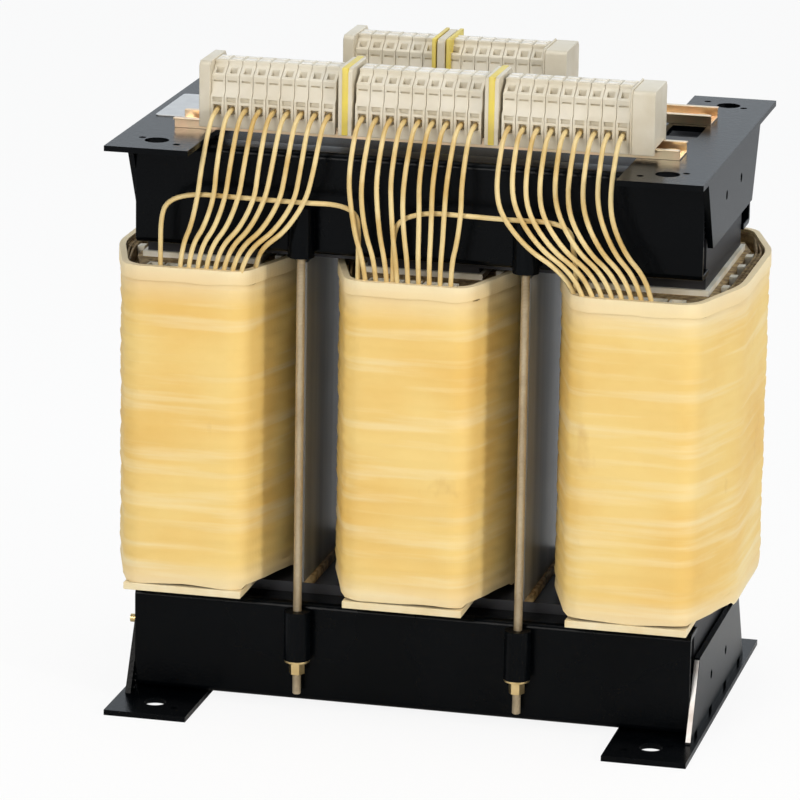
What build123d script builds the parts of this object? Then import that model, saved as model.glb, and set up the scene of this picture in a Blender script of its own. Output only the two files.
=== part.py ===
"""Three-phase dry type transformer: three-leg core, taped coils, clamp frame and terminal rails.

Millimetres. The origin lies midway between the feet, on the surface they stand on.
X runs along the three coils, -Y is the front with the long terminal strip, +Z is up.
"""
import os
from math import hypot, radians, tan
from build123d import *

os.makedirs("parts", exist_ok=True)

# Driving dimensions
leg_pitch = 160
leg_width = 80
core_size = 400
core_depth = 140
bracket_plate = 4
core_lift = 6.8
frame_height = core_size + 2 * core_lift
bracket_width = 60
bracket_outer_x = 210
bracket_depth = 292
upright_thickness = 4
upright_outer_x = 206
upright_base_half = 106
upright_top_half = 78
upright_height = 55
foot_hole_x = 180
foot_hole_y = 118
foot_hole_radius = 8.5
small_hole_radius = 2.5
tab_notch = (12, 4)

clamp_sheet = 4
clamp_bend = 3
clamp_face = 95
clamp_height = 72.8
rod_x = leg_pitch / 2
rod_y = 102
rod_radius = 3
rod_bottom = 14
sleeve_radius = 9.5
sleeve_bottom = 40
sleeve_height = 36
nut_across_flats = 10
nut_height = 9
washer_radius = 9.2
washer_thickness = 1.6

coil_half_width = 66
coil_half_depth = 121
coil_front_half = 43
coil_side_half = 55
coil_top = 323
end_board = 5.2
tube_wall = 3
inner_build = (5, 22)
side_wall = 13
front_wall = 9
corner_wall = 9.5
corner_duct = 3
duct_frame = 1.6
barrier_thickness = 2
barrier_half_depth = 88
barrier_strip = (8, 140, 6)

rail_y = 60
rail_width = 35
rail_height = 7.5
rail_sheet = 1
rail_half_length = 180
terminal_pitch = 10
terminal_gap = 0.2
terminal_height = 49.4
terminal_half_depth = 21
leads_per_coil = 9
separator_width = 14
end_plate_width = 1.5
front_first_terminal = -152
rear_strip_left = -87

lead_radius = 1.75
lead_bend = 9
lead_plane = 118.5
link_plane = 114.2
lead_end_y = 115
link_turn = 20
earth_bolt_y = -60
earth_bolt_z = 46

# Derived places
core_half = core_size / 2
core_top = core_lift + core_size
window_bottom = core_lift + leg_width
window_top = core_top - leg_width
coil_bottom = window_bottom + end_board
upper_clamp_bottom = core_top - clamp_height
rod_top = upper_clamp_bottom + 0.8 * sleeve_height
bracket_centre_x = bracket_outer_x - bracket_width / 2
clamp_half_length = upright_outer_x - upright_thickness
leg_half_depth = core_depth / 2
tube_half = (leg_width / 2 + tube_wall, leg_half_depth + tube_wall)
inner_half = (tube_half[0] + inner_build[0], tube_half[1] + inner_build[1])
duct_half = (coil_half_width - side_wall, coil_half_depth - front_wall)
duct_x = duct_half[0] - inner_half[0]
duct_y = duct_half[1] - inner_half[1]
rail_base = frame_height
rail_top = rail_base + rail_height
coil_places = {"left": -leg_pitch, "middle": 0, "right": leg_pitch}
group_length = leads_per_coil * terminal_pitch
group_starts = [
    front_first_terminal + number * (group_length + separator_width) for number in range(3)
]
facing = {"front": -1, "rear": 1}


def save(part, name):
    """Label one finished piece and write it."""
    part.label = name
    export_step(part, f"parts/{name}.step")


def octagon(half_width, half_depth, flat_half, side_half):
    """Eight corners of a coil's outline, seen from above."""
    return [
        (flat_half, -half_depth), (half_width, -side_half),
        (half_width, side_half), (flat_half, half_depth),
        (-flat_half, half_depth), (-half_width, side_half),
        (-half_width, -side_half), (-flat_half, -half_depth),
    ]


def inset_octagon(half_width, half_depth, slant_inset):
    """Octagon inside the coil's outline, its slanted sides parallel to the outside ones."""
    slant_x = coil_half_width - coil_front_half
    slant_y = coil_half_depth - coil_side_half
    slant = hypot(slant_x, slant_y)
    reach = coil_front_half * slant_y + coil_half_depth * slant_x - slant_inset * slant
    flat_half = (reach - half_depth * slant_x) / slant_y
    side_half = (reach - half_width * slant_y) / slant_x
    return octagon(half_width, half_depth, flat_half, side_half)


# Core: five stacks of laminations, three legs between two yokes
for side, centre_x in coil_places.items():
    with BuildPart() as core_leg:
        with BuildSketch(Plane.XY.offset(window_bottom)):
            with Locations((centre_x, 0)):
                Rectangle(leg_width, core_depth)
        extrude(amount=window_top - window_bottom)
    save(core_leg.part, f"core_leg_{side}")

for name, bottom in (("lower_yoke", core_lift), ("upper_yoke", window_top)):
    with BuildPart() as yoke:
        with BuildSketch(Plane.XY.offset(bottom)):
            Rectangle(core_size, core_depth)
        extrude(amount=leg_width)
    save(yoke.part, name)


# Coils: tube on the leg, inner winding, cooling duct with spacers, taped outer winding
for side, centre_x in coil_places.items():
    coil_centre = Location((centre_x, 0))

    with BuildPart() as coil_tube:
        with BuildSketch(Plane.XY.offset(coil_bottom)):
            with Locations(coil_centre):
                Rectangle(2 * tube_half[0], 2 * tube_half[1])
                Rectangle(leg_width, core_depth, mode=Mode.SUBTRACT)
        extrude(amount=coil_top - coil_bottom)
    save(coil_tube.part, f"coil_tube_{side}")

    with BuildPart() as inner_winding:
        with BuildSketch(Plane.XY.offset(coil_bottom)):
            with BuildLine():
                corners = inset_octagon(*inner_half, corner_wall + corner_duct)
                Polyline([(centre_x + x, y) for x, y in corners], close=True)
            make_face()
            with Locations(coil_centre):
                Rectangle(2 * tube_half[0], 2 * tube_half[1], mode=Mode.SUBTRACT)
        extrude(amount=coil_top - 4 - coil_bottom)
    save(inner_winding.part, f"inner_winding_{side}")

    # Channel strips stand in the duct at the front and the back, thin bars at the sides
    with BuildPart() as duct_spacers:
        with BuildSketch(Plane.XY.offset(coil_bottom)):
            for facing_sign in facing.values():
                channel_y = facing_sign * (inner_half[1] + duct_y / 2)
                with Locations(coil_centre):
                    with Locations([(offset, channel_y) for offset in (-26, -13, 0, 13, 26)]):
                        Rectangle(11, duct_y)
                        Rectangle(11 - 2 * duct_frame, duct_y - 2 * duct_frame, mode=Mode.SUBTRACT)
            for facing_sign in facing.values():
                bar_x = facing_sign * (inner_half[0] + duct_x / 2)
                with Locations(coil_centre):
                    with Locations([(bar_x, offset) for offset in (-48, -16, 16, 48)]):
                        Rectangle(duct_x, 8)
        extrude(amount=coil_top - 2 - coil_bottom)
    save(duct_spacers.part, f"duct_spacers_{side}")

    with BuildPart() as outer_winding:
        with BuildSketch(Plane.XY.offset(coil_bottom)):
            with BuildLine():
                corners = octagon(coil_half_width, coil_half_depth, coil_front_half, coil_side_half)
                Polyline([(centre_x + x, y) for x, y in corners], close=True)
            make_face()
            with BuildLine():
                corners = inset_octagon(*duct_half, corner_wall)
                Polyline([(centre_x + x, y) for x, y in corners], close=True)
            make_face(mode=Mode.SUBTRACT)
        extrude(amount=coil_top - coil_bottom)
        # The tape pulls every outside corner of the winding round
        upright_edges = outer_winding.edges().filter_by(Axis.Z)
        outer_corners = upright_edges.filter_by(
            lambda edge: abs(edge.center().X - centre_x) > duct_half[0] + 1
            or abs(edge.center().Y) > duct_half[1] + 1
        )
        fillet(outer_corners, radius=8)
    save(outer_winding.part, f"outer_winding_{side}")

    with BuildPart() as lower_end_board:
        with BuildSketch(Plane.XY.offset(window_bottom)):
            with Locations(coil_centre):
                Rectangle(2 * coil_front_half, 2 * coil_half_depth)
                Rectangle(leg_width, core_depth, mode=Mode.SUBTRACT)
        extrude(amount=end_board)
    save(lower_end_board.part, f"lower_end_board_{side}")


# Insulating sheets stand in the two gaps between the coils
for side, centre_x in (("left", -rod_x), ("right", rod_x)):
    with BuildPart() as phase_barrier:
        with BuildSketch(Plane.XY.offset(window_bottom + barrier_strip[2])):
            with Locations((centre_x, 0)):
                Rectangle(barrier_thickness, 2 * barrier_half_depth)
        extrude(amount=window_top - window_bottom - barrier_strip[2])
    save(phase_barrier.part, f"phase_barrier_{side}")

    with BuildPart() as barrier_foot:
        with BuildSketch(Plane.XY.offset(window_bottom)):
            with Locations((centre_x, 0)):
                Rectangle(barrier_strip[0], barrier_strip[1])
        extrude(amount=barrier_strip[2])
        chamfer(barrier_foot.edges().group_by(Axis.Z)[-1], length=1)
    save(barrier_foot.part, f"barrier_foot_{side}")


# Clamps: folded channels whose flanges press on the yokes
def clamp_channel(name, sign, bottom):
    """Folded channel with its web outward, open towards the yoke."""
    web_y = sign * (clamp_face - clamp_sheet / 2)
    flange_y = sign * leg_half_depth
    low_flange = bottom + clamp_sheet / 2
    high_flange = bottom + clamp_height - clamp_sheet / 2
    with BuildPart() as clamp:
        with BuildSketch(Plane.YZ.offset(-clamp_half_length)):
            with BuildLine() as fold:
                FilletPolyline(
                    (flange_y, low_flange), (web_y, low_flange),
                    (web_y, high_flange), (flange_y, high_flange),
                    radius=clamp_bend,
                )
            trace(fold.line, line_width=clamp_sheet)
            # The flanges end square on the yoke's face
            with Locations((flange_y - sign * clamp_sheet / 2, bottom + clamp_height / 2)):
                Rectangle(clamp_sheet, clamp_height, mode=Mode.SUBTRACT)
        extrude(amount=2 * clamp_half_length)
    save(clamp.part, name)


for end, sign in facing.items():
    clamp_channel(f"lower_clamp_{end}", sign, core_lift)
    clamp_channel(f"upper_clamp_{end}", sign, upper_clamp_bottom)


# Four alike brackets: two feet, and two turned over on top of the frame
def end_bracket(name, sign, is_top):
    """Base plate with a trapezoid upright welded across it."""
    plate_bottom = frame_height - bracket_plate if is_top else 0
    upright_root = frame_height - bracket_plate if is_top else bracket_plate
    rise = -1 if is_top else 1
    upright_x = sign * (upright_outer_x - upright_thickness / 2)
    with BuildPart() as bracket:
        with BuildSketch(Plane.XY.offset(plate_bottom)):
            with Locations((sign * bracket_centre_x, 0)):
                Rectangle(bracket_width, bracket_depth)
            with Locations(
                (sign * foot_hole_x, -foot_hole_y), (sign * foot_hole_x, foot_hole_y)
            ):
                Circle(foot_hole_radius, mode=Mode.SUBTRACT)
            with Locations([
                (sign * x, end_y * y) for end_y in (-1, 1) for x, y in ((192, 112), (163, 128))
            ]):
                Circle(small_hole_radius, mode=Mode.SUBTRACT)
            if is_top and sign > 0:
                with Locations((sign * 166, 22)):
                    Rectangle(24, 36, mode=Mode.SUBTRACT)
        extrude(amount=bracket_plate)
        upright_plane = Plane.YZ.offset(upright_x)
        with BuildSketch(upright_plane):
            with BuildLine():
                tip = upright_root + rise * upright_height
                Polyline(
                    (-upright_base_half, upright_root),
                    (upright_base_half, upright_root),
                    (upright_top_half, tip),
                    (-upright_top_half, tip),
                    close=True,
                )
            make_face()
            notch_z = upright_root + rise * tab_notch[1] / 2
            with Locations([(y, notch_z) for y in (-86, -29, 29, 86)]):
                Rectangle(*tab_notch, mode=Mode.SUBTRACT)
            with Locations((-29, upright_root + rise * 28), (29, upright_root + rise * 28)):
                Circle(3.3, mode=Mode.SUBTRACT)
        extrude(amount=upright_thickness / 2, both=True)
    save(bracket.part, name)


for side, sign in (("left", -1), ("right", 1)):
    end_bracket(f"foot_{side}", sign, False)
    end_bracket(f"top_bracket_{side}", sign, True)

with BuildPart() as rating_plate:
    with BuildSketch(Plane.XY.offset(frame_height)):
        with Locations((-178, -2)):
            RectangleRounded(52, 76, 3)
    extrude(amount=0.8)
save(rating_plate.part, "rating_plate")


# Tie rods pull the two frames together: threaded bosses above, plain sleeves and nuts below
rod_places = [(x, sign * rod_y) for sign in facing.values() for x in (-rod_x, rod_x)]
nut_bottom = sleeve_bottom - washer_thickness - nut_height

for number, (x, y) in enumerate(rod_places, start=1):
    with BuildPart() as tie_rod:
        with BuildSketch(Plane.XY.offset(rod_bottom)):
            with Locations((x, y)):
                Circle(rod_radius)
        extrude(amount=rod_top - rod_bottom)
        chamfer(tie_rod.edges().filter_by(GeomType.CIRCLE), length=0.8)
    save(tie_rod.part, f"tie_rod_{number}")

with BuildPart() as rod_sleeves:
    for level in (sleeve_bottom, upper_clamp_bottom):
        with BuildSketch(Plane.XY.offset(level)):
            with Locations(rod_places):
                Circle(sleeve_radius)
            Rectangle(core_size, 2 * clamp_face, mode=Mode.SUBTRACT)
            with Locations(rod_places):
                Circle(rod_radius, mode=Mode.SUBTRACT)
        extrude(amount=sleeve_height)
save(rod_sleeves.part, "rod_sleeves")

with BuildPart() as tie_rod_nuts:
    with BuildSketch(Plane.XY.offset(nut_bottom)):
        with Locations(rod_places):
            RegularPolygon(nut_across_flats / 2, 6, major_radius=False)
            Circle(rod_radius, mode=Mode.SUBTRACT)
    extrude(amount=nut_height)
save(tie_rod_nuts.part, "tie_rod_nuts")

with BuildPart() as tie_rod_washers:
    with BuildSketch(Plane.XY.offset(sleeve_bottom - washer_thickness)):
        with Locations(rod_places):
            Circle(washer_radius)
            Circle(rod_radius, mode=Mode.SUBTRACT)
        Rectangle(core_size, 2 * clamp_face, mode=Mode.SUBTRACT)
    extrude(amount=washer_thickness)
save(tie_rod_washers.part, "tie_rod_washers")

with BuildPart() as earth_bolt:
    with BuildSketch(Plane.YZ.offset(-upright_outer_x)):
        with Locations((earth_bolt_y, earth_bolt_z)):
            RegularPolygon(5, 6, major_radius=False)
    extrude(amount=-4)
    with BuildSketch(Plane.YZ.offset(-upright_outer_x - 4)):
        with Locations((earth_bolt_y, earth_bolt_z)):
            Circle(3)
    extrude(amount=-5)
save(earth_bolt.part, "earth_bolt")


# Terminal rails: top-hat strips screwed down on the upper brackets
def hat_rail(name, sign):
    """Symmetric 35 mm rail, its foot on the brackets and its lips upward."""
    half = rail_width / 2
    lip_z = rail_top - rail_sheet / 2
    foot_z = rail_base + rail_sheet / 2
    centre = sign * rail_y
    with BuildPart() as rail:
        with BuildSketch(Plane.YZ.offset(-rail_half_length)):
            with BuildLine() as hat:
                Polyline(
                    (centre - half, lip_z), (centre - half + 4.5, lip_z),
                    (centre - half + 4.5, foot_z), (centre + half - 4.5, foot_z),
                    (centre + half - 4.5, lip_z), (centre + half, lip_z),
                )
            trace(hat.line, line_width=rail_sheet)
        extrude(amount=2 * rail_half_length)
    save(rail.part, name)


for end, sign in facing.items():
    hat_rail(f"{end}_rail", sign)

with BuildPart() as rail_screws:
    for sign in facing.values():
        with BuildSketch(Plane.XY.offset(rail_base + rail_sheet)):
            with Locations((-172, sign * rail_y), (172, sign * rail_y)):
                Circle(5)
        extrude(amount=3.2)
save(rail_screws.part, "rail_screws")


# Terminals: stepped moulded bodies with a wire funnel on each side and a marker slot on top
terminal_seat = rail_top
terminal_top = rail_base + terminal_height


def terminal_outline(sign):
    """Side view of one terminal, clipped over both lips of its rail."""
    half = rail_width / 2
    centre = sign * rail_y
    front = [
        (-half, terminal_seat), (-half, terminal_seat - 4), (-terminal_half_depth, terminal_seat - 4),
        (-terminal_half_depth, terminal_seat + 18), (-terminal_half_depth + 3, terminal_seat + 21),
        (-terminal_half_depth + 3, terminal_top - 9), (-9, terminal_top - 3), (-9, terminal_top),
    ]
    back = [(-y, z) for y, z in reversed(front)]
    return [(centre + y, z) for y, z in front + back]


def terminal_row(name, sign, left_x, count, pitch=terminal_pitch):
    """A run of separate terminals side by side on one rail."""
    with BuildPart() as row:
        for number in range(count):
            face = Plane.YZ.offset(left_x + number * pitch)
            with BuildSketch(face):
                with BuildLine():
                    Polyline(terminal_outline(sign), close=True)
                make_face()
            extrude(amount=pitch - terminal_gap)
        centres = [left_x + (number + 0.5) * pitch - terminal_gap / 2 for number in range(count)]
        for end_sign in facing.values():
            face_y = sign * rail_y + end_sign * terminal_half_depth
            with Locations([(x, face_y, terminal_seat + 9) for x in centres]):
                Box(5.6, 10, 6.5, mode=Mode.SUBTRACT)
            with Locations([(x, face_y - end_sign * 7.5, terminal_top - 6) for x in centres]):
                Box(5, 5, 12, mode=Mode.SUBTRACT)
    save(row.part, name)


for side, start in zip(coil_places, group_starts):
    terminal_row(f"front_terminals_{side}", -1, start, leads_per_coil)

rear_group_starts = (rear_strip_left + 8, rear_strip_left + 8 + 60 + 8)
terminal_row("rear_terminals_left", 1, rear_group_starts[0], 6)
terminal_row("rear_terminals_right", 1, rear_group_starts[1], 7)


def strip_blocks(name, blocks):
    """Blocks between and beyond the terminals: (side of the frame, left x, width, top z)."""
    with BuildPart() as pieces:
        for sign, left_x, width, top in blocks:
            face = Plane.YZ.offset(left_x)
            with BuildSketch(face):
                with BuildLine():
                    half = rail_width / 2
                    centre = sign * rail_y
                    reach = terminal_half_depth + 1
                    points = [
                        (-reach, terminal_seat - 4), (-reach, top - 3), (-reach + 3, top),
                        (reach - 3, top), (reach, top - 3), (reach, terminal_seat - 4),
                        (half, terminal_seat - 4), (half, terminal_seat),
                        (-half, terminal_seat), (-half, terminal_seat - 4),
                    ]
                    Polyline([(centre + y, z) for y, z in points], close=True)
                make_face()
            extrude(amount=width)
    save(pieces.part, name)


front_end = group_starts[2] + group_length
rear_end = rear_group_starts[1] + 70
strip_blocks("end_stops", [
    (-1, front_first_terminal - 8, 8, terminal_top + 1),
    (-1, front_end + end_plate_width, 16, terminal_top - 1),
    (1, rear_strip_left, 8, terminal_top + 1),
    (1, rear_end + end_plate_width, 16, terminal_top - 1),
])
strip_blocks("end_plates", [
    (-1, front_end, end_plate_width, terminal_top),
    (1, rear_end, end_plate_width, terminal_top),
])
separators = [(-1, start + group_length + 2, separator_width - 4, terminal_top + 2)
              for start in group_starts[:2]]
separators.append((1, rear_group_starts[0] + 61, 6, terminal_top + 2))
strip_blocks("separators", separators)


# Leads: each is held at both ends, in a terminal and in the top of its coil
def bend_limit(points):
    """Largest bend radius that every corner of a route allows."""
    limit = lead_bend
    for before, corner, after in zip(points, points[1:], points[2:]):
        run_in = Vector(*corner) - Vector(*before)
        run_out = Vector(*after) - Vector(*corner)
        turn = run_in.get_angle(run_out)
        if turn > 1:
            shorter = min(run_in.length, run_out.length)
            limit = min(limit, 0.45 * shorter / tan(radians(turn) / 2))
    return limit


def lead_bundle(name, routes):
    """Round leads swept along routes of straight runs and tangent bends."""
    with BuildPart() as bundle:
        for points in routes:
            with BuildLine() as path:
                FilletPolyline(*points, radius=bend_limit(points))
            with BuildSketch(Plane(origin=path.line @ 0, z_dir=path.line % 0)):
                Circle(lead_radius)
            sweep(path=path.line)
    save(bundle.part, name)


def landing_y(offset):
    """Distance from the middle plane to the taped wall, at an offset along the coil's front."""
    slant_x = coil_half_width - coil_front_half
    slant_y = coil_half_depth - coil_side_half
    middle_of_wall = corner_wall / 2 * hypot(slant_x, slant_y)
    reach = coil_front_half * slant_y + coil_half_depth * slant_x - middle_of_wall
    return min(lead_end_y, (reach - abs(offset) * slant_y) / slant_x)


def coil_lead(top_x, bottom_x, coil_x, sign):
    """From a terminal's funnel, over the clamp's edge and down to the coil's top."""
    end_y = landing_y(bottom_x - coil_x)
    funnel_y = rail_y + terminal_half_depth - 5
    sweep_x = bottom_x - top_x
    return [
        (top_x, sign * funnel_y, terminal_seat + 9),
        (top_x, sign * (funnel_y + 16), terminal_seat + 9),
        (top_x + 0.04 * sweep_x, sign * (lead_plane + 1), frame_height - 4),
        (top_x + 0.48 * sweep_x, sign * lead_plane, frame_height - 40),
        (bottom_x - 0.10 * sweep_x, sign * lead_plane, coil_top + 26),
        (bottom_x, sign * end_y, coil_top + 8),
        (bottom_x, sign * end_y, coil_top),
    ]


front_landings = {"left": (-164, -114.5), "middle": (-30, 30), "right": (118, 172)}
for (side, (first, last)), start in zip(front_landings.items(), group_starts):
    step = (last - first) / (leads_per_coil - 1)
    lead_bundle(f"front_leads_{side}", [
        coil_lead(start + (number + 0.5) * terminal_pitch - terminal_gap / 2,
                  first + number * step, coil_places[side], -1)
        for number in range(leads_per_coil)
    ])

rear_tops = [start + (number + 0.5) * terminal_pitch - terminal_gap / 2
             for start, count in zip(rear_group_starts, (6, 7)) for number in range(count)]
rear_landings = {"left": (-150, -115), "middle": (-24, 24), "right": (115, 150)}
for index, (side, (first, last)) in enumerate(rear_landings.items()):
    step = (last - first) / 3
    lead_bundle(f"rear_leads_{side}", [
        coil_lead(rear_tops[index * 4 + number], first + number * step, coil_places[side], 1)
        for number in range(4)
    ])


def link_lead(start_side, start_x, end_side, end_x, height):
    """From one coil's top up, along the upper clamp's face, and down to the next coil."""
    level = -link_plane
    start_y = -landing_y(start_x - coil_places[start_side])
    end_y = -landing_y(end_x - coil_places[end_side])
    low = coil_top + link_turn
    return [
        (start_x, start_y, coil_top), (start_x, start_y, low),
        (start_x, level, low + 12), (start_x + 6, level, height - 8),
        (start_x + 20, level, height), (end_x - 20, level, height),
        (end_x - 4, level, height - 8), (end_x, level, low + 12),
        (end_x, end_y, low), (end_x, end_y, coil_top),
    ]


lead_bundle("link_lead_left", [link_lead("left", -178, "middle", -36, 376)])
lead_bundle("link_lead_right", [link_lead("middle", -11.25, "right", 115, 374)])
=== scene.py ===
from math import cos, pi, radians, sin, hypot
import bpy
import bmesh
from mathutils import Matrix, Vector
from mathutils.bvhtree import BVHTree


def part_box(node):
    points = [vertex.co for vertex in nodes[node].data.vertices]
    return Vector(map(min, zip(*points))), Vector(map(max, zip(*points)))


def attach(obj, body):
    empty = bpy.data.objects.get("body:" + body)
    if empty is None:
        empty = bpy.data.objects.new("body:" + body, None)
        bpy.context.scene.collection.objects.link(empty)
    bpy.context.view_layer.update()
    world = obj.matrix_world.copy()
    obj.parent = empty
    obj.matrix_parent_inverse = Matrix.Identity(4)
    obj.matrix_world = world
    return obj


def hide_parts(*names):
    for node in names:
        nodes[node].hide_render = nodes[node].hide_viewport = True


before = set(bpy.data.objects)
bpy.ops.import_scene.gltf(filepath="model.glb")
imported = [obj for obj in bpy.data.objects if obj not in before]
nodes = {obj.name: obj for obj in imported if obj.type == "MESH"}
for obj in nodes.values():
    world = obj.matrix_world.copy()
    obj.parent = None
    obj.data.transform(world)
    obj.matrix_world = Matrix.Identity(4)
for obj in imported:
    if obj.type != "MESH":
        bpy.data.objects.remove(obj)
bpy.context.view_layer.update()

sides = ("left", "middle", "right")
pitch = 0.010  # width of one terminal
middleShare = 0.49  # its middle, as a share of the pitch


# small helpers shared by every piece

def clearSelection():
    if bpy.context.mode != "OBJECT":
        bpy.ops.object.mode_set(mode="OBJECT")
    bpy.ops.object.select_all(action="DESELECT")


def pick(piece):
    clearSelection()
    piece.select_set(True)
    bpy.context.view_layer.objects.active = piece


def startEdit(piece, mode="FACE"):
    pick(piece)
    bpy.ops.object.mode_set(mode="EDIT")
    bpy.ops.mesh.select_mode(type=mode)


def endEdit():
    bpy.ops.object.mode_set(mode="OBJECT")


def applyModifier(piece, kind, **values):
    pick(piece)
    modifier = piece.modifiers.new(kind.lower(), kind)
    for key, value in values.items():
        setattr(modifier, key, value)
    bpy.ops.object.modifier_apply(modifier=modifier.name)


def joinPieces(pieces, name):
    pick(pieces[0])
    for other in pieces[1:]:
        other.select_set(True)
    if len(pieces) > 1:
        bpy.ops.object.join()
    joined = bpy.context.view_layer.objects.active
    joined.name = name
    joined.data.name = name
    return joined


def copyPiece(piece, shift):
    twin = piece.copy()
    twin.data = piece.data.copy()
    bpy.context.scene.collection.objects.link(twin)
    twin.data.transform(Matrix.Translation(shift))
    return twin


def settle(piece, name, material, smooth=35, replaced=()):
    # place goes into the mesh, then the piece gets its finish and rides on the frame
    pick(piece)
    bpy.ops.object.transform_apply(location=True, rotation=True, scale=True)
    piece.name = name
    piece.data.name = name
    if smooth:
        bpy.ops.object.shade_smooth_by_angle(angle=radians(smooth))
    piece.data.materials.clear()
    piece.data.materials.append(material)
    if replaced:
        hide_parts(*replaced)
    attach(piece, "root")
    return piece


# node groups used by several materials

def newGroup(name, inputs, outputs):
    group = bpy.data.node_groups.new(name, "ShaderNodeTree")
    for label, kind, value in inputs:
        socket = group.interface.new_socket(name=label, in_out="INPUT", socket_type=kind)
        socket.default_value = value
    for label, kind in outputs:
        group.interface.new_socket(name=label, in_out="OUTPUT", socket_type=kind)
    entry = group.nodes.new("NodeGroupInput")
    leave = group.nodes.new("NodeGroupOutput")
    return group, entry, leave


def mixColours(tree, factor, first, second, blend="MIX"):
    mixer = tree.nodes.new("ShaderNodeMix")
    mixer.data_type = "RGBA"
    mixer.blend_type = blend
    given = ((mixer.inputs[0], factor), (mixer.inputs[6], first), (mixer.inputs[7], second))
    for socket, value in given:
        if isinstance(value, bpy.types.NodeSocket):
            tree.links.new(value, socket)
        else:
            socket.default_value = value
    return mixer.outputs[2]


def buildMottle():
    # one stretched noise, sized by the caller, for stains, dust and uneven paint
    group, entry, leave = newGroup(
        "Mottle",
        [("Size", "NodeSocketFloat", 30.0), ("Stretch", "NodeSocketVector", (1, 1, 1)),
         ("Low", "NodeSocketFloat", 0.4), ("High", "NodeSocketFloat", 0.6)],
        [("Mask", "NodeSocketFloat")])
    place = group.nodes.new("ShaderNodeTexCoord")
    stretch = group.nodes.new("ShaderNodeVectorMath")
    stretch.operation = "MULTIPLY"
    noise = group.nodes.new("ShaderNodeTexNoise")
    noise.inputs["Detail"].default_value = 5
    spread = group.nodes.new("ShaderNodeMapRange")
    links = group.links
    links.new(place.outputs["Object"], stretch.inputs[0])
    links.new(entry.outputs["Stretch"], stretch.inputs[1])
    links.new(stretch.outputs[0], noise.inputs["Vector"])
    links.new(entry.outputs["Size"], noise.inputs["Scale"])
    links.new(noise.outputs["Fac"], spread.inputs["Value"])
    links.new(entry.outputs["Low"], spread.inputs["From Min"])
    links.new(entry.outputs["High"], spread.inputs["From Max"])
    links.new(spread.outputs["Result"], leave.inputs["Mask"])
    return group


def buildWeave():
    # crossed threads, one set along the height and one around
    group, entry, leave = newGroup(
        "Weave",
        [("Threads", "NodeSocketFloat", 400.0), ("Rows", "NodeSocketFloat", 400.0)],
        [("Height", "NodeSocketFloat")])
    place = group.nodes.new("ShaderNodeTexCoord")
    warp = group.nodes.new("ShaderNodeTexWave")
    weft = group.nodes.new("ShaderNodeTexWave")
    warp.bands_direction = "X"
    weft.bands_direction = "Z"
    both = group.nodes.new("ShaderNodeMath")
    both.operation = "ADD"
    links = group.links
    for wave, label in ((warp, "Threads"), (weft, "Rows")):
        wave.inputs["Distortion"].default_value = 0.6
        wave.inputs["Detail"].default_value = 1
        links.new(place.outputs["Object"], wave.inputs["Vector"])
        links.new(entry.outputs[label], wave.inputs["Scale"])
    links.new(warp.outputs["Fac"], both.inputs[0])
    links.new(weft.outputs["Fac"], both.inputs[1])
    links.new(both.outputs[0], leave.inputs["Height"])
    return group


mottle = buildMottle()
weave = buildWeave()


def placeGroup(tree, group, **values):
    node = tree.nodes.new("ShaderNodeGroup")
    node.node_tree = group
    for label, value in values.items():
        node.inputs[label].default_value = value
    return node


def newMaterial(name, colour, rough, metal=0.0):
    material = bpy.data.materials.new(name)
    material.use_nodes = True
    tree = material.node_tree
    shader = tree.nodes["Principled BSDF"]
    shader.inputs["Base Color"].default_value = (*colour, 1)
    shader.inputs["Roughness"].default_value = rough
    shader.inputs["Metallic"].default_value = metal
    return material, tree, shader


def addBump(tree, shader, height, distance, strength=1.0):
    bump = tree.nodes.new("ShaderNodeBump")
    bump.inputs["Distance"].default_value = distance
    bump.inputs["Strength"].default_value = strength
    tree.links.new(height, bump.inputs["Height"])
    tree.links.new(bump.outputs["Normal"], shader.inputs["Normal"])
    return bump


# finishes

def paintedBlack():
    material, tree, shader = newMaterial("BlackPaint", (0.002, 0.003, 0.004), 0.22)
    shader.inputs["Specular IOR Level"].default_value = 0.07
    patches = placeGroup(tree, mottle, Size=14, Low=0.35, High=0.7)
    tone = mixColours(tree, patches.outputs["Mask"],
                      (0.0007, 0.0012, 0.0018, 1), (0.0018, 0.0025, 0.0034, 1))
    tree.links.new(tone, shader.inputs["Base Color"])
    peel = placeGroup(tree, mottle, Size=420, Low=0.3, High=0.7)
    addBump(tree, shader, peel.outputs["Mask"], 0.00006)
    return material


def heightMask(tree, low, high):
    # rises from 0 to 1 between two heights of the object
    place = tree.nodes.new("ShaderNodeTexCoord")
    parts = tree.nodes.new("ShaderNodeSeparateXYZ")
    spread = tree.nodes.new("ShaderNodeMapRange")
    spread.inputs["From Min"].default_value = low
    spread.inputs["From Max"].default_value = high
    tree.links.new(place.outputs["Object"], parts.inputs[0])
    tree.links.new(parts.outputs["Z"], spread.inputs["Value"])
    return spread.outputs["Result"]


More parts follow.
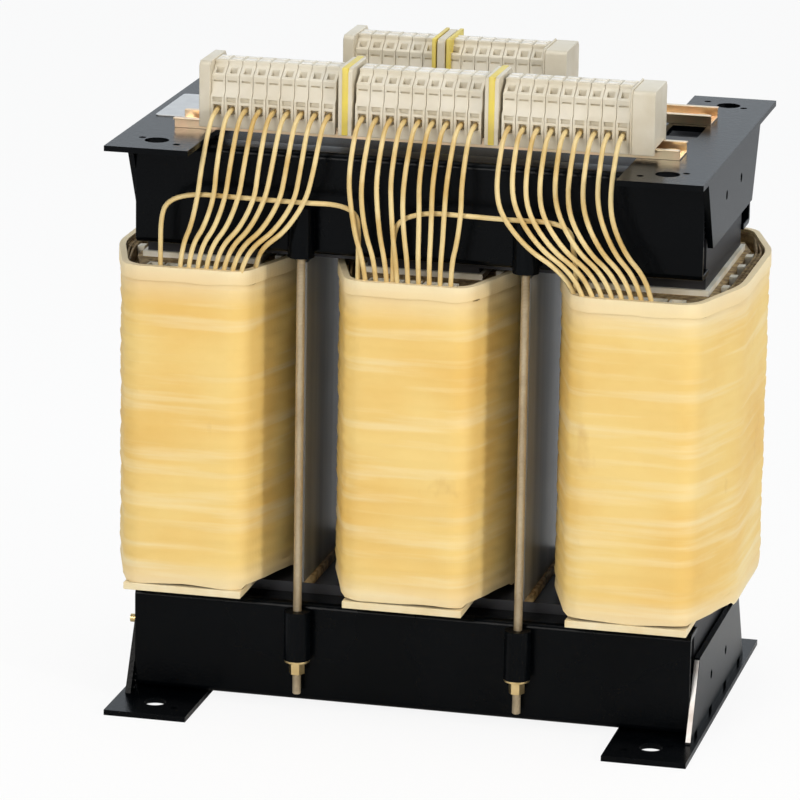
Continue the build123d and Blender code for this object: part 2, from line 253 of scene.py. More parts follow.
def coilTape():
    material, tree, shader = newMaterial("CoilTape", (0.88, 0.69, 0.32), 0.6)
    warm = placeGroup(tree, mottle, Size=9, Stretch=(1, 1, 1.4), Low=0.4, High=0.7)
    tone = mixColours(tree, warm.outputs["Mask"], (0.89, 0.64, 0.22, 1), (0.83, 0.52, 0.13, 1))
    streak = placeGroup(tree, mottle, Size=22, Stretch=(0.3, 0.3, 5), Low=0.5, High=0.85)
    tone = mixColours(tree, streak.outputs["Mask"], tone, (0.93, 0.77, 0.44, 1))
    stain = placeGroup(tree, mottle, Size=30, Stretch=(1, 1, 0.6), Low=0.66, High=0.9)
    tone = mixColours(tree, stain.outputs["Mask"], tone, (0.62, 0.35, 0.09, 1))
    for low, high in ((0.296, 0.326), (0.112, 0.088)):
        pale = tree.nodes.new("ShaderNodeMath")
        pale.operation = "MULTIPLY"
        pale.inputs[1].default_value = 0.65
        tree.links.new(heightMask(tree, low, high), pale.inputs[0])
        tone = mixColours(tree, pale.outputs[0], tone, (0.92, 0.83, 0.62, 1))
    tree.links.new(tone, shader.inputs["Base Color"])
    cloth = placeGroup(tree, weave, Threads=260, Rows=240)
    addBump(tree, shader, cloth.outputs["Height"], 0.0001, 0.3)
    return material


def braid():
    material, tree, shader = newMaterial("TanBraid", (0.5, 0.34, 0.15), 0.7)
    spots = placeGroup(tree, mottle, Size=160, Low=0.4, High=0.6)
    tone = mixColours(tree, spots.outputs["Mask"], (0.62, 0.44, 0.2, 1), (0.3, 0.18, 0.07, 1))
    tree.links.new(tone, shader.inputs["Base Color"])
    cloth = placeGroup(tree, weave, Threads=500, Rows=500)
    addBump(tree, shader, cloth.outputs["Height"], 0.0004)
    return material


def plastic(name, colour, second, rough, size=40):
    material, tree, shader = newMaterial(name, colour, rough)
    patches = placeGroup(tree, mottle, Size=size, Low=0.4, High=0.68)
    tone = mixColours(tree, patches.outputs["Mask"], (*colour, 1), (*second, 1))
    tree.links.new(tone, shader.inputs["Base Color"])
    grain = placeGroup(tree, mottle, Size=900, Low=0.3, High=0.7)
    addBump(tree, shader, grain.outputs["Mask"], 0.00004)
    return material


def passivated(name, colour, second, rough, metal=1.0, threads=False):
    material, tree, shader = newMaterial(name, colour, rough, metal)
    patches = placeGroup(tree, mottle, Size=60, Low=0.38, High=0.66)
    tone = mixColours(tree, patches.outputs["Mask"], (*colour, 1), (*second, 1))
    tree.links.new(tone, shader.inputs["Base Color"])
    if threads:
        place = tree.nodes.new("ShaderNodeTexCoord")
        turns = tree.nodes.new("ShaderNodeTexWave")
        turns.bands_direction = "Z"
        turns.inputs["Scale"].default_value = 314  # a 1 mm pitch
        tree.links.new(place.outputs["Object"], turns.inputs["Vector"])
        addBump(tree, shader, turns.outputs["Fac"], 0.0004)
    return material


def laminations():
    # sheet edges show as fine lines across the stack
    material, tree, shader = newMaterial("CoreSteel", (0.02, 0.02, 0.023), 0.45, 0.3)
    place = tree.nodes.new("ShaderNodeTexCoord")
    sheets = tree.nodes.new("ShaderNodeTexWave")
    sheets.bands_direction = "Y"
    sheets.inputs["Scale"].default_value = 320
    tree.links.new(place.outputs["Object"], sheets.inputs["Vector"])
    tone = mixColours(tree, sheets.outputs["Fac"], (0.012, 0.012, 0.014, 1), (0.035, 0.035, 0.04, 1))
    tree.links.new(tone, shader.inputs["Base Color"])
    addBump(tree, shader, sheets.outputs["Fac"], 0.0002)
    return material


def barrierSheet():
    material, tree, shader = newMaterial("BarrierSheet", (0.1, 0.1, 0.1), 0.28)
    streak = placeGroup(tree, mottle, Size=40, Stretch=(1, 1, 0.05), Low=0.35, High=0.7)
    tone = mixColours(tree, streak.outputs["Mask"], (0.09, 0.095, 0.1, 1), (0.3, 0.295, 0.28, 1))
    tree.links.new(tone, shader.inputs["Base Color"])
    return material


blackPaint = paintedBlack()
tapeCloth = coilTape()
tanBraid = braid()
steelSheets = laminations()
greySheet = barrierSheet()
creamBoard = plastic("CreamBoard", (0.88, 0.76, 0.5), (0.8, 0.64, 0.36), 0.6)
whiteBoard = plastic("WhiteBoard", (0.83, 0.8, 0.7), (0.7, 0.62, 0.45), 0.6)
beigePlastic = plastic("BeigePlastic", (0.74, 0.68, 0.55), (0.66, 0.59, 0.45), 0.42)
markerPlastic = plastic("MarkerPlastic", (0.86, 0.83, 0.77), (0.75, 0.71, 0.62), 0.5, 90)
yellowPlastic = plastic("YellowPlastic", (0.82, 0.66, 0.1), (0.72, 0.56, 0.12), 0.42)
leadSleeve = plastic("LeadSleeve", (0.84, 0.66, 0.32), (0.62, 0.4, 0.12), 0.5, 34)
rodSteel = passivated("RodSteel", (0.62, 0.52, 0.36), (0.5, 0.4, 0.26), 0.42, 0.6, True)
nutSteel = passivated("NutSteel", (0.8, 0.62, 0.32), (0.62, 0.45, 0.2), 0.32)
railSteel = passivated("RailSteel", (0.84, 0.6, 0.4), (0.72, 0.6, 0.4), 0.3)
# bare metal for the right foot's front edge only, partly standing in as a painted highlight of the light
# from the right
bareMetalHighlight = passivated("BareMetalHighlight", (0.72, 0.7, 0.68), (0.5, 0.44, 0.4), 0.42, 0.7)
plateMetal = passivated("PlateMetal", (0.62, 0.62, 0.61), (0.54, 0.54, 0.54), 0.42, 0.6)
print("materials ready")


# CAD nodes that keep their shape and get softened edges

cutSpec = {
    "wide": 0.0064, "depth": 0.0022, "outside": 0.004, "probe": 0.0038, "away": 0.06,
    "rows": ((0.4497, 0.0013), (0.4372, 0.0034)),  # height of each row, and how tall its cuts are
}


def terminalCuts(copy, name, spec):
    # screwdriver slots and the upper part of the wire funnels, on both long faces
    low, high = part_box(name)
    shape = bmesh.new()
    shape.from_mesh(copy.data)
    surface = BVHTree.FromBMesh(shape)
    middleY = (low[1] + high[1]) / 2
    boxes = []
    for number in range(round((high[0] - low[0]) / pitch)):
        x = low[0] + (number + middleShare) * pitch
        for z, tall in spec["rows"]:
            for sign in (-1, 1):
                start = Vector((x - spec["probe"], middleY + sign * spec["away"], z))
                spot = surface.ray_cast(start, Vector((0, -sign, 0)))[0]
                if spot is None:
                    continue
                length = spec["depth"] + spec["outside"]
                y = spot.y + sign * (length / 2 - spec["depth"])
                bpy.ops.mesh.primitive_cube_add(size=1)
                box = bpy.context.object
                size = Matrix.Diagonal((spec["wide"], length, tall, 1))
                box.data.transform(Matrix.Translation((x, y, z)) @ size)
                boxes.append(box)
    shape.free()
    cutter = joinPieces(boxes, "TerminalCutter")
    applyModifier(copy, "BOOLEAN", operation="DIFFERENCE", object=cutter, solver="EXACT")
    bpy.data.objects.remove(cutter)


def soften(name, width, material, segments=2):
    original = nodes[name]
    copy = original.copy()
    copy.data = original.data.copy()
    bpy.context.scene.collection.objects.link(copy)
    copy.parent = None
    copy.matrix_world = Matrix.Identity(4)
    startEdit(copy)
    bpy.ops.mesh.select_all(action="SELECT")
    bpy.ops.mesh.remove_doubles(threshold=0.00001)
    bpy.ops.mesh.dissolve_limited(angle_limit=radians(1))
    endEdit()
    applyModifier(copy, "BEVEL", width=width, segments=segments, limit_method="ANGLE",
                  angle_limit=radians(50), harden_normals=False)
    if "terminals" in name:
        terminalCuts(copy, name, cutSpec)
    shell = settle(copy, name + "Shell", material, 40, (name,))
    applyModifier(shell, "WEIGHTED_NORMAL", weight=100, keep_sharp=True)
    return shell


def paintNode(name, material):
    for index in range(len(nodes[name].material_slots)):
        nodes[name].material_slots[index].material = material
    if not nodes[name].material_slots:
        nodes[name].data.materials.append(material)


for name in nodes:
    if name.startswith(("lower_clamp", "upper_clamp")):
        soften(name, 0.0006, blackPaint)
    elif name.startswith(("foot", "top_bracket")):
        soften(name, 0.0006, blackPaint)
    elif name == "rod_sleeves":
        soften(name, 0.0008, blackPaint)
    elif name in ("front_rail", "rear_rail"):
        soften(name, 0.0002, railSteel)
    elif name in ("end_stops", "end_plates"):
        soften(name, 0.0007, beigePlastic)
    elif name == "separators":
        soften(name, 0.0007, beigePlastic)
    elif "terminals" in name:
        soften(name, 0.0005, beigePlastic)
    elif name in ("tie_rod_nuts", "tie_rod_washers"):
        soften(name, 0.0004, nutSteel)
    elif name.startswith("lower_end_board"):
        soften(name, 0.0005, creamBoard)
    elif name.startswith("phase_barrier"):
        soften(name, 0.0003, greySheet)
    elif name.startswith("barrier_foot"):
        soften(name, 0.0005, tanBraid)
    elif name == "rating_plate":
        soften(name, 0.0002, plateMetal)
    elif name.startswith(("core_leg", "lower_yoke", "upper_yoke")):
        paintNode(name, steelSheets)
    elif name.startswith("tie_rod_"):
        paintNode(name, rodSteel)
    elif name.startswith("inner_winding"):
        paintNode(name, tanBraid)
    elif name.startswith(("coil_tube", "duct_spacers")):
        paintNode(name, whiteBoard)
    elif name in ("rail_screws", "earth_bolt"):
        paintNode(name, nutSteel)
print("frame dressed")


# taped coils

coilSpec = {
    "halfWidth": 0.066, "halfDepth": 0.121, "frontHalf": 0.043, "sideHalf": 0.055,
    "cornerRound": 0.012, "cornerSteps": 5, "longest": 0.009, "skin": 0.0008,
    "lap": 0.0098, "lapStep": 0.0006, "rimWidth": 0.0026, "rimDrop": 0.014,
    "frontWall": 0.009, "sideWall": 0.013, "cornerWall": 0.0095,
    "bandHeight": 0.009, "hemLift": 0.003,
}


def turnFromFront(x, y):
    return Vector((x, y)).angle_signed(Vector((0, -1))) % (2 * pi)


def coilOutline(name, centreX, z, halfWidth, halfDepth, spec):
    # an eight-cornered ring with rounded corners, cut fine enough for creases
    bpy.ops.mesh.primitive_circle_add(vertices=8, fill_type="NOTHING", location=(0, 0, 0))
    ring = bpy.context.object
    ring.name = name
    corners = [
        (spec["frontHalf"], -halfDepth), (halfWidth, -spec["sideHalf"]),
        (halfWidth, spec["sideHalf"]), (spec["frontHalf"], halfDepth),
        (-spec["frontHalf"], halfDepth), (-halfWidth, spec["sideHalf"]),
        (-halfWidth, -spec["sideHalf"]), (-spec["frontHalf"], -halfDepth),
    ]
    ordered = sorted(ring.data.vertices, key=lambda vertex: turnFromFront(vertex.co.x, vertex.co.y))
    for vertex, (x, y) in zip(ordered, sorted(corners, key=lambda corner: turnFromFront(*corner))):
        vertex.co = (centreX + x, y, z)
    startEdit(ring, "VERT")
    bpy.ops.mesh.select_all(action="SELECT")
    bpy.ops.mesh.bevel(offset=spec["cornerRound"], segments=spec["cornerSteps"], affect="VERTICES")
    bpy.ops.mesh.select_all(action="SELECT")
    for _ in range(5):
        longEdges(ring, spec["longest"])
        bpy.ops.mesh.subdivide(number_cuts=1)
    bpy.ops.mesh.select_all(action="SELECT")
    return ring


def longEdges(piece, limit):
    data = bmesh.from_edit_mesh(piece.data)
    for vertex in data.verts:
        vertex.select = False
    for edge in data.edges:
        edge.select = edge.calc_length() > limit
    data.select_flush_mode()
    bmesh.update_edit_mesh(piece.data)


def growRing(shift, scale=(1, 1), centreX=0.0):
    # one more row of the wrap: extruded up, then drawn in or out about the coil's axis
    bpy.ops.mesh.extrude_edges_move(TRANSFORM_OT_translate={"value": (0, 0, shift)})
    if scale != (1, 1):
        bpy.ops.transform.resize(value=(scale[0], scale[1], 1), center_override=(centreX, 0, 0))


def slantReach(halfWidth, halfDepth, spec):
    # distance of a slanted face from the coil's axis, with the face's direction
    across = halfDepth - spec["sideHalf"]
    along = halfWidth - spec["frontHalf"]
    length = hypot(across, along)
    reach = (spec["frontHalf"] * across + halfDepth * along) / length
    return reach, across / length, along / length


def fitRing(piece, centreX, halfWidth, halfDepth, spec):
    # the selected ring is drawn in to the duct, whose walls run beside the outer ones
    reach, across, along = slantReach(halfWidth, halfDepth, spec)
    data = bmesh.from_edit_mesh(piece.data)
    for vertex in data.verts:
        if vertex.select:
            x, y = abs(vertex.co.x - centreX), abs(vertex.co.y)
            share = min((halfWidth - spec["sideWall"]) / max(x, 1e-6),
                        (halfDepth - spec["frontWall"]) / max(y, 1e-6),
                        (reach - spec["cornerWall"]) / (x * across + y * along))
            vertex.co.x = centreX + (vertex.co.x - centreX) * share
            vertex.co.y *= share
    bmesh.update_edit_mesh(piece.data)


def tapedCoil(side, spec):
    node = "outer_winding_" + side
    low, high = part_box(node)
    centreX = (low[0] + high[0]) / 2
    halfWidth = (high[0] - low[0]) / 2
    halfDepth = (high[1] - low[1]) / 2
    bottom, top = low[2], high[2]
    skinWidth = halfWidth - spec["skin"]
    skinDepth = halfDepth - spec["skin"]
    coil = coilOutline("TapedCoil", centreX, bottom, skinWidth, skinDepth, spec)
    wrapTop = top - spec["bandHeight"] * 0.5
    laps = int((wrapTop - bottom) / spec["lap"])
    lap = (top - bottom) / laps
    outward = (1 + spec["lapStep"] / skinWidth, 1 + spec["lapStep"] / skinDepth)
    inward = (1 / outward[0], 1 / outward[1])
    for row in range(laps):
        growRing(lap * 0.45, outward, centreX)
        growRing(lap * 0.45, (1, 1), centreX)
        growRing(lap * 0.1, inward, centreX)
    rim = (1 - spec["rimWidth"] / skinWidth, 1 - spec["rimWidth"] / skinDepth)
    growRing(0.0, rim, centreX)
    growRing(-spec["rimDrop"], (1, 1), centreX)
    growRing(0.0)
    fitRing(coil, centreX, halfWidth, halfDepth, spec)
    growRing(bottom - top + spec["rimDrop"], (1, 1), centreX)
    data = bmesh.from_edit_mesh(coil.data)
    for edge in data.edges:
        edge.select = edge.is_boundary
    data.select_flush_mode()
    bmesh.update_edit_mesh(coil.data)
    bpy.ops.mesh.select_mode(type="EDGE")
    bpy.ops.mesh.bridge_edge_loops()
    bpy.ops.mesh.select_all(action="SELECT")
    bpy.ops.mesh.normals_make_consistent(inside=False)
    endEdit()
    creaseCoil(coil, centreX, bottom, skinWidth, skinDepth, spec)
    settle(coil, "TapedCoil" + side.title(), tapeCloth, 50, (node,))
    return centreX, bottom, top, halfWidth, halfDepth


creaseSpec = {"outer": 0.86, "wave": 0.0009, "corner": 0.0007, "hem": 0.012}


def creaseCoil(coil, centreX, bottom, skinWidth, skinDepth, spec):
    # pulled tape: slow waves over the faces, short creases at the corners, a lifted hem
    for vertex in coil.data.vertices:
        x, y, z = vertex.co.x - centreX, vertex.co.y, vertex.co.z
        reach = max(abs(x) / skinWidth, abs(y) / skinDepth)
        slant = abs(x) > spec["frontHalf"] and abs(y) > spec["sideHalf"]
        if reach < creaseSpec["outer"] and not slant:
            continue
        around = (x * 31 + y * 23)
        wave = 0.5 * sin(z * 210 + around * 2.1 + centreX * 40) + 0.5 * sin(z * 94 - around * 3.7)
        pull = -creaseSpec["wave"] * (0.5 + 0.5 * wave)
        if slant:
            pull -= creaseSpec["corner"] * (0.5 + 0.5 * sin(z * 420 + around * 5))
        length = hypot(x, y)
        vertex.co.x += pull * x / length
        vertex.co.y += pull * y / length
        if z < bottom + creaseSpec["hem"]:
            nearness = 1 - (z - bottom) / creaseSpec["hem"]
            lift = spec["hemLift"] * (1.0 if slant else 0.35 + 0.3 * sin(x * 90 + centreX * 30))
            vertex.co.z += lift * nearness


def topBand(side, centreX, top, halfWidth, halfDepth, spec):
    # the last pale turn of tape round the top, its lower edge uneven
    bottom = top - spec["bandHeight"]
    band = coilOutline("TopBand", centreX, bottom, halfWidth - 0.0002, halfDepth - 0.0002, spec)
    growRing(spec["bandHeight"] * 0.5)
    growRing(spec["bandHeight"] * 0.5 + 0.0006)
    inset = (1 - 0.004 / halfWidth, 1 - 0.004 / halfDepth)
    growRing(0.0, inset, centreX)
    endEdit()
    for vertex in band.data.vertices:
        if vertex.co.z < bottom + 0.002:
            vertex.co.z += 0.0005 * sin((vertex.co.x - centreX) * 160 + vertex.co.y * 110 + centreX * 20)
    applyModifier(band, "SOLIDIFY", thickness=0.0006, offset=-1)
    settle(band, "TopBand" + side.title(), tapeCloth, 50)


layerSpec = {"insets": (0.0045, 0.0078, 0.0111), "thick": 0.0013, "drop": 0.012, "stand": 0.0006,
             "frontShare": 0.68, "block": (0.0022, 0.0036, 0.009), "rows": (0.0061, 0.0094),
             "blockStep": 0.0058, "blockDrop": 0.0062}


def ductLayers(side, centreX, top, halfWidth, halfDepth, spec, layers):
    # edges of the wound layers, with spacers between them
    rings = []
    for inset in layers["insets"]:
        ring = coilOutline("Layer", centreX, top - layers["drop"], halfWidth - inset,
                           halfDepth - inset * layers["frontShare"], spec)
        growRing(layers["drop"] - layers["stand"] - inset * 0.1)
        endEdit()
        applyModifier(ring, "SOLIDIFY", thickness=layers["thick"], offset=0)
        rings.append(ring)
    bpy.ops.mesh.primitive_cube_add(size=1, location=(0, 0, 0))
    block = bpy.context.object
    block.data.transform(Matrix.Diagonal((*layers["block"], 1)))
    startEdit(block)
    bpy.ops.mesh.select_all(action="SELECT")
    bpy.ops.mesh.bevel(offset=0.0004, segments=1, affect="EDGES")
    endEdit()
    blocks = []
    for row in layers["rows"]:
        for sign in (-1, 1):
            for step in range(-9, 10):
                shift = (centreX + sign * (halfWidth - row), step * layers["blockStep"],
                         top - layers["blockDrop"])
                blocks.append(copyPiece(block, shift))
    bpy.data.objects.remove(block)
    piece = joinPieces(rings + blocks, "DuctLayers")
    settle(piece, "DuctLayers" + side.title(), tanBraid, 40)


coils = {}
for side in sides:
    coils[side] = tapedCoil(side, coilSpec)
    centreX, bottom, top, halfWidth, halfDepth = coils[side]
    topBand(side, centreX, top, halfWidth, halfDepth, coilSpec)
    ductLayers(side, centreX, top, halfWidth, halfDepth, coilSpec, layerSpec)
print("coils taped")


# leads

leadSpec = {
    "radius": 0.00175, "plane": 0.1185, "link": 0.1142, "landing": 0.115, "sink": 0.006,
    "linkTurn": 0.020, "frontCount": 9, "rearCount": 4, "frontWander": 0.0012, "rearWander": 0.0008,
}


def leadCurve(name, routes, replaced):
    curve = bpy.data.curves.new(name, "CURVE")
    curve.dimensions = "3D"
    curve.bevel_depth = leadSpec["radius"]
    curve.bevel_resolution = 2
    curve.resolution_u = 5
    for points in routes:
        spline = curve.splines.new("NURBS")
        spline.points.add(len(points) - 1)
        for point, place in zip(spline.points, points):
            point.co = (*place, 1)
        spline.order_u = 3
        spline.use_endpoint_u = True
    curveObject = bpy.data.objects.new(name + "Curve", curve)
    bpy.context.scene.collection.objects.link(curveObject)
    pick(curveObject)
    bpy.ops.object.convert(target="MESH")
    return settle(bpy.context.object, name, leadSleeve, 60, (replaced,))


def landingY(offset):
    # the tape's middle line, at an offset along the front of a coil
    reach, across, along = slantReach(coilSpec["halfWidth"], coilSpec["halfDepth"], coilSpec)
    return min(leadSpec["landing"], (reach - coilSpec["cornerWall"] / 2 - abs(offset) * across) / along)


def leadRoute(topX, landX, coilX, sign, funnelY, funnelZ, clampTop, coilTop, wander):
    lean = landX - topX
    landY = landingY(landX - coilX)
    plane = sign * leadSpec["plane"]
    return [
        (topX, sign * funnelY, funnelZ),
        (topX, sign * (funnelY + 0.010), funnelZ - 0.0005),
        (topX, sign * (funnelY + 0.024), funnelZ - 0.006),
        (topX + 0.01 * lean + wander * 0.3, plane * 1.005, clampTop - 0.010),
        (topX + 0.10 * lean + wander, plane * 1.01, clampTop - 0.030),
        (topX + 0.42 * lean + wander * 0.5, plane * 1.005, clampTop - 0.052),
        (topX + 0.76 * lean, plane, coilTop + 0.020),
        (topX + 0.96 * lean, sign * (landY + 0.0015), coilTop + 0.004),
        (landX, sign * landY, coilTop - leadSpec["sink"]),
    ]


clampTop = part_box("upper_clamp_front")[1][2]
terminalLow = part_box("front_terminals_left")[0]
funnelZ = terminalLow[2] + 0.013
funnelY = abs(terminalLow[1]) - 0.005
landings = {"left": (-0.164, -0.1145), "middle": (-0.030, 0.030), "right": (0.118, 0.172)}


def fanRoutes(topStart, count, first, last, coilX, sign, coilTop):
    step = (last - first) / (count - 1)
    routes = []
    for number in range(count):
        topX = topStart + (number + middleShare) * pitch
        wander = leadSpec["frontWander"] * sin(number * 2.3 + topStart * 90)
        routes.append(leadRoute(topX, first + number * step, coilX, sign, funnelY, funnelZ, clampTop,
                                coilTop, wander))
    return routes


for side in sides:
    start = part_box("front_terminals_" + side)[0][0]
    first, last = landings[side]
    routes = fanRoutes(start, leadSpec["frontCount"], first, last, coils[side][0], -1, coils[side][2])
    leadCurve("FrontLeads" + side.title(), routes, "front_leads_" + side)

rearTops = [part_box("rear_terminals_left")[0][0] + (n + middleShare) * pitch for n in range(6)]
rearTops += [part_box("rear_terminals_right")[0][0] + (n + middleShare) * pitch for n in range(7)]
rearLandings = {"left": (-0.150, -0.115), "middle": (-0.024, 0.024), "right": (0.115, 0.150)}
for index, side in enumerate(sides):
    first, last = rearLandings[side]
    routes = []
    for number in range(leadSpec["rearCount"]):
        landX = first + number * (last - first) / (leadSpec["rearCount"] - 1)
        topX = rearTops[index * leadSpec["rearCount"] + number]
        wander = leadSpec["rearWander"] * sin(number * 2.1 + index)
        routes.append(leadRoute(topX, landX, coils[side][0], 1, funnelY, funnelZ, clampTop,
                                coils[side][2], wander))
    leadCurve("RearLeads" + side.title(), routes, "rear_leads_" + side)


def linkRoute(startSide, startX, endSide, endX, height):
    level = -leadSpec["link"]
    startY = -landingY(startX - coils[startSide][0])
    endY = -landingY(endX - coils[endSide][0])
    coilTop = coils[startSide][2]
    low = coilTop + leadSpec["linkTurn"]
    sink = coilTop - leadSpec["sink"]
    return [
        (startX, startY, sink), (startX, startY, low - 0.006), (startX, level, low + 0.014),
        (startX + 0.004, level, height - 0.006), (startX + 0.022, level, height + 0.0005),
        (startX + 0.05, level, height), (endX - 0.04, level, height - 0.0008),
        (endX - 0.014, level, height), (endX - 0.001, level, height - 0.006),
        (endX, level, low + 0.014), (endX, endY, low - 0.002), (endX, endY, sink),
    ]


leadCurve("LinkLeadLeft", [linkRoute("left", -0.178, "middle", -0.036, 0.376)], "link_lead_left")
leadCurve("LinkLeadRight", [linkRoute("middle", -0.01125, "right", 0.115, 0.374)], "link_lead_right")
print("leads laid")


# terminals: screws, marker tags and yellow tabs

tagSpec = {"screwRadius": 0.0022, "tagWide": 0.0072, "tagTall": 0.005, "tagThick": 0.0008}


def screwHead():
    bpy.ops.mesh.primitive_cylinder_add(vertices=12, radius=tagSpec["screwRadius"], depth=0.002)
    head = bpy.context.object
    startEdit(head)
    bpy.ops.mesh.select_all(action="DESELECT")
    data = bmesh.from_edit_mesh(head.data)
    for face in data.faces:
        face.select = face.normal.z > 0.9
    bmesh.update_edit_mesh(head.data)
    bpy.ops.mesh.inset(thickness=0.0005)
    bpy.ops.mesh.extrude_region_move(TRANSFORM_OT_translate={"value": (0, 0, -0.0005)})
    endEdit()
    return head


def markerTag():
    bpy.ops.mesh.primitive_cube_add(size=1)
    tag = bpy.context.object
    tag.data.transform(Matrix.Diagonal((tagSpec["tagWide"], tagSpec["tagTall"], tagSpec["tagThick"], 1)))
    startEdit(tag)
    bpy.ops.mesh.select_all(action="SELECT")
    bpy.ops.mesh.bevel(offset=0.0003, segments=2, affect="EDGES")
    endEdit()
    return tag


screws = []
tags = []
head = screwHead()
tag = markerTag()
for name in nodes:
    if "terminals" not in name:
        continue
    low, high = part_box(name)
    centreY = (low[1] + high[1]) / 2
    count = round((high[0] - low[0]) / pitch)
    for number in range(count):
        x = low[0] + (number + middleShare) * pitch
        for sign in (-1, 1):
            screws.append(copyPiece(head, (x, centreY + sign * 0.0135, high[2] - 0.0128)))
            tags.append(copyPiece(tag, (x, centreY + sign * 0.0042, high[2] + 0.0001)))
bpy.data.objects.remove(head)
bpy.data.objects.remove(tag)
settle(joinPieces(screws, "TerminalScrews"), "TerminalScrews", nutSteel, 30)
settle(joinPieces(tags, "MarkerTags"), "MarkerTags", markerPlastic, 30)


tabSpec = {"wide": 0.0028, "single": 1.6, "clear": 0.0004, "rearStep": 0.0052, "edge": 0.0005}


def yellowTabs():
    # thin markers that stand on the blocks between the groups of terminals
    tabs = []
    copy = copyPiece(bpy.data.objects["separatorsShell"], (0, 0, 0))
    copy.parent = None
    copy.matrix_world = Matrix.Identity(4)
    startEdit(copy)
    bpy.ops.mesh.separate(type="LOOSE")
    endEdit()
    blocks = list(bpy.context.selected_objects)
    for block in blocks:
        xs = [vertex.co.x for vertex in block.data.vertices]
        ys = [vertex.co.y for vertex in block.data.vertices]
        zs = [vertex.co.z for vertex in block.data.vertices]
        middle = ((min(xs) + max(xs)) / 2, (min(ys) + max(ys)) / 2, (min(zs) + max(zs)) / 2)
        for sign in (-1, 1) if middle[1] > 0 else (0,):
            bpy.ops.mesh.primitive_cube_add(size=1)
            tab = bpy.context.object
            wide = tabSpec["wide"] * (tabSpec["single"] if sign == 0 else 1)
            size = (wide, max(ys) - min(ys) + 2 * tabSpec["clear"], max(zs) - min(zs))
            shift = (middle[0] + sign * tabSpec["rearStep"], middle[1], middle[2] + tabSpec["clear"])
            tab.data.transform(Matrix.Translation(shift) @ Matrix.Diagonal((*size, 1)))
            startEdit(tab)
            bpy.ops.mesh.select_all(action="SELECT")
            bpy.ops.mesh.bevel(offset=0.0005, segments=2, affect="EDGES")
            endEdit()
            tabs.append(tab)
        bpy.data.objects.remove(block)
    settle(joinPieces(tabs, "YellowTabs"), "YellowTabs", yellowPlastic, 30)


yellowTabs()
print("terminals finished")


# raw cut edge, partly a painted highlight, and weld beads on the uprights

edgeSpec = {"x": 0.204, "rootY": -0.106, "tipY": -0.078, "plate": 0.004,
            "thick": 0.0034, "stand": 0.0006, "short": 0.003}


def rawEdgeHighlight(name, spec):
    # unpainted metal on the slanted front edge of the right foot only; kept to this foot, it is partly a
    # painted highlight where the light from the right catches that edge
    low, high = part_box(name)
    root = Vector((spec["x"], spec["rootY"], low[2] + spec["plate"]))
    tip = Vector((spec["x"], spec["tipY"], high[2]))
    along = (tip - root).normalized()
    thick = Vector((1, 0, 0))
    facing = along.cross(thick).normalized()
    if facing.y > 0:
        facing.negate()
    bpy.ops.mesh.primitive_cube_add(size=1, location=(0, 0, 0))
    strip = bpy.context.object
    startEdit(strip)
    bpy.ops.mesh.select_all(action="SELECT")
    bpy.ops.mesh.subdivide(number_cuts=3)
    endEdit()
    turn = Matrix((thick, facing, along)).transposed().to_4x4()
    size = Matrix.Diagonal((spec["thick"], spec["stand"], (tip - root).length - spec["short"], 1))
    strip.data.transform(Matrix.Translation((root + tip) / 2) @ turn @ size)
    settle(strip, "RawEdgeHighlight", bareMetalHighlight, 30)


weldSpec = {"bead": 0.0022, "count": 11, "x": 0.2022, "rootY": 0.0975, "run": 0.018,
            "lift": 0.006, "climb": 0.044, "wobble": 0.0004}


def weldBeads(spec):
    bpy.ops.mesh.primitive_uv_sphere_add(segments=10, ring_count=6, radius=spec["bead"])
    bead = bpy.context.object
    beads = []
    for sign in (-1, 1):
        for low in (True, False):
            for end in (-1, 1):
                for step in range(spec["count"]):
                    share = step / (spec["count"] - 1)
                    y = end * (spec["rootY"] - spec["run"] * share)
                    rise = spec["lift"] + share * spec["climb"]
                    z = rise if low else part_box("top_bracket_left")[1][2] - rise
                    wobble = spec["wobble"] * sin(step * 2.7 + sign)
                    beads.append(copyPiece(bead, (sign * spec["x"], y + wobble, z)))
    bpy.data.objects.remove(bead)
    settle(joinPieces(beads, "WeldBeads"), "WeldBeads", blackPaint, 60)


rawEdgeHighlight("foot_right", edgeSpec)
weldBeads(weldSpec)
print("welds done")


# floor, light and camera

def buildFloor():
    bpy.ops.mesh.primitive_plane_add(size=14, location=(0, 2.0, 0))
    floor = bpy.context.object
    floor.name = "Floor"
    material, tree, shader = newMaterial("FloorWhite", (0.9, 0.9, 0.9), 0.9)
    rays = tree.nodes.new("ShaderNodeLightPath")
    glow = tree.nodes.new("ShaderNodeEmission")
    glow.inputs["Strength"].default_value = 1.0
    mixer = tree.nodes.new("ShaderNodeMixShader")
    share = tree.nodes.new("ShaderNodeMath")
    share.operation = "MULTIPLY"
    share.inputs[1].default_value = 0.9
    tree.links.new(rays.outputs["Is Camera Ray"], share.inputs[0])
    tree.links.new(share.outputs[0], mixer.inputs[0])
    tree.links.new(shader.outputs[0], mixer.inputs[1])
    tree.links.new(glow.outputs[0], mixer.inputs[2])
    tree.links.new(mixer.outputs[0], tree.nodes["Material Output"].inputs["Surface"])
    floor.data.materials.append(material)


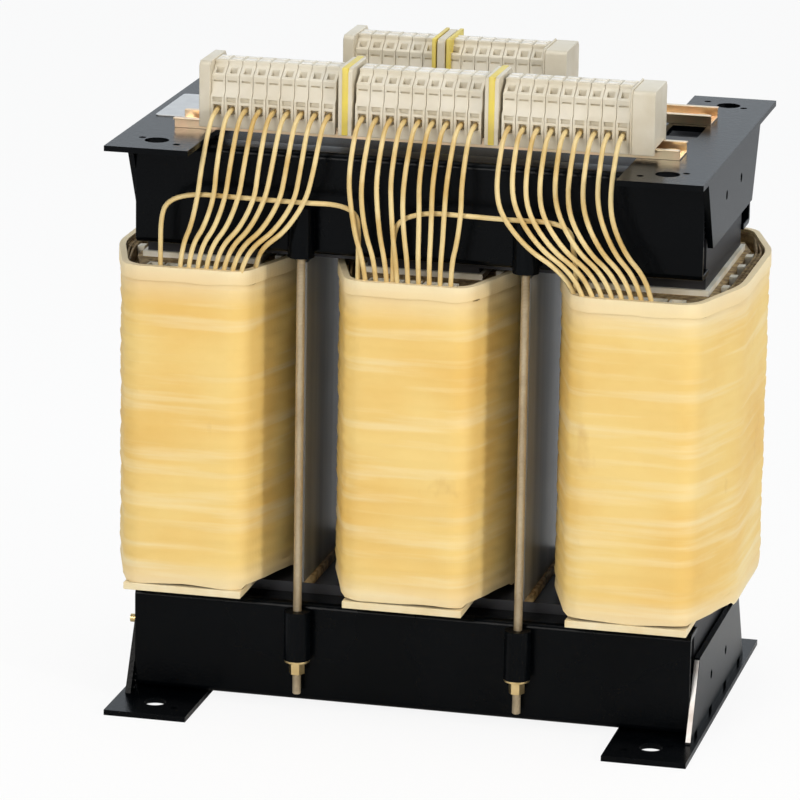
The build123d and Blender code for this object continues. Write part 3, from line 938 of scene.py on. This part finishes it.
def buildWorld():
    world = bpy.data.worlds.new("Studio")
    bpy.context.scene.world = world
    world.use_nodes = True
    tree = world.node_tree
    soft = tree.nodes["Background"]
    soft.inputs["Color"].default_value = (0.86, 0.93, 1.0, 1)
    place = tree.nodes.new("ShaderNodeTexCoord")
    parts = tree.nodes.new("ShaderNodeSeparateXYZ")
    spread = tree.nodes.new("ShaderNodeMapRange")
    for label, value in (("From Min", -0.3), ("From Max", 0.9), ("To Min", 0.14), ("To Max", 1.1)):
        spread.inputs[label].default_value = value
    tree.links.new(place.outputs["Generated"], parts.inputs[0])
    tree.links.new(parts.outputs["Y"], spread.inputs["Value"])
    tree.links.new(spread.outputs["Result"], soft.inputs["Strength"])
    white = tree.nodes.new("ShaderNodeBackground")
    white.inputs["Strength"].default_value = 1.0
    rays = tree.nodes.new("ShaderNodeLightPath")
    mixer = tree.nodes.new("ShaderNodeMixShader")
    tree.links.new(rays.outputs["Is Camera Ray"], mixer.inputs[0])
    tree.links.new(soft.outputs[0], mixer.inputs[1])
    tree.links.new(white.outputs[0], mixer.inputs[2])
    tree.links.new(mixer.outputs[0], tree.nodes["World Output"].inputs["Surface"])


def addLamp(name, place, aim, power, size, colour=(1, 1, 1)):
    lamp = bpy.data.lights.new(name, "AREA")
    lamp.energy = power
    lamp.size = size
    lamp.color = colour
    holder = bpy.data.objects.new(name, lamp)
    bpy.context.scene.collection.objects.link(holder)
    holder.location = place
    holder.rotation_euler = (Vector(aim) - Vector(place)).to_track_quat("-Z", "Y").to_euler()


cameraSpec = {
    "lookAt": (-0.0304, -0.0062, 0.2096), "distance": 3.717, "lens": 233.2,
    "azimuth": 13.34, "elevation": 15.16, "roll": 0.91,
}


def buildCamera(spec):
    camera = bpy.data.cameras.new("Camera")
    camera.lens = spec["lens"]
    camera.sensor_width = 36
    holder = bpy.data.objects.new("Camera", camera)
    bpy.context.scene.collection.objects.link(holder)
    turn = (Matrix.Rotation(radians(spec["azimuth"]), 4, "Z")
            @ Matrix.Rotation(radians(90 - spec["elevation"]), 4, "X")
            @ Matrix.Rotation(radians(spec["roll"]), 4, "Z"))
    back = turn.to_3x3() @ Vector((0, 0, spec["distance"]))
    holder.matrix_world = Matrix.Translation(Vector(spec["lookAt"]) + back) @ turn
    bpy.context.scene.camera = holder


buildFloor()
buildWorld()
addLamp("KeyLamp", (3.1, -1.3, 1.3), (0, 0, 0.22), 42, 0.6, (1, 0.94, 0.86))
addLamp("FillLamp", (-0.9, -3.3, 1.6), (0, 0, 0.22), 56, 1.5, (1, 0.97, 0.93))
addLamp("TopLamp", (0.2, -0.4, 2.6), (0, 0, 0.2), 22, 1.8)
buildCamera(cameraSpec)
bpy.context.scene.view_settings.view_transform = "Standard"
print("stage set")
